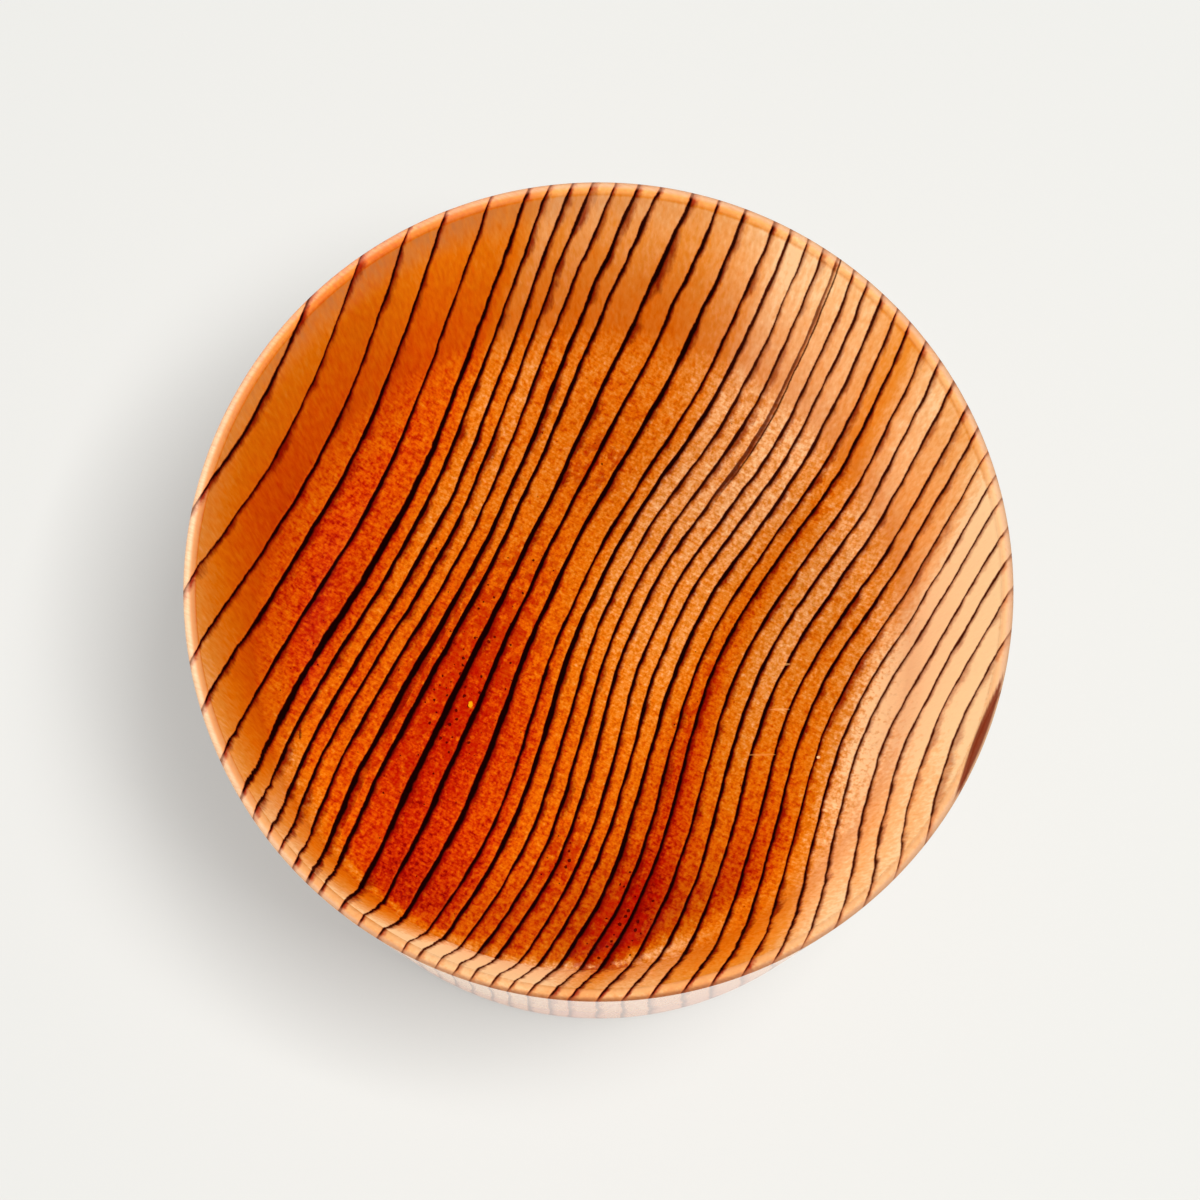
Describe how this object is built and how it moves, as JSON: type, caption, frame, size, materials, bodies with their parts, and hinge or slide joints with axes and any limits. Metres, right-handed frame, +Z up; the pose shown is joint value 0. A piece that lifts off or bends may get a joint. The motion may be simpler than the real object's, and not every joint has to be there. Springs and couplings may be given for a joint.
{
  "type": "sake cup",
  "caption": "Small handleless wooden cup with a thin round lip, a straight slightly tapered wall and a thick flat foot, for holding sake or tea.",
  "frame": {"origin": "middle of the foot, on the surface the cup stands on", "axes": "+Z up through the mouth, -X at the left of the picture, -Y towards the viewer"},
  "size_m": [0.06, 0.06, 0.055],
  "materials": {
    "cedar": "clear, smooth oil or lacquer finish with a soft gloss"
  },
  "bodies": {
    "root": {"cup_body": "cedar"}
  },
  "joints": []
}
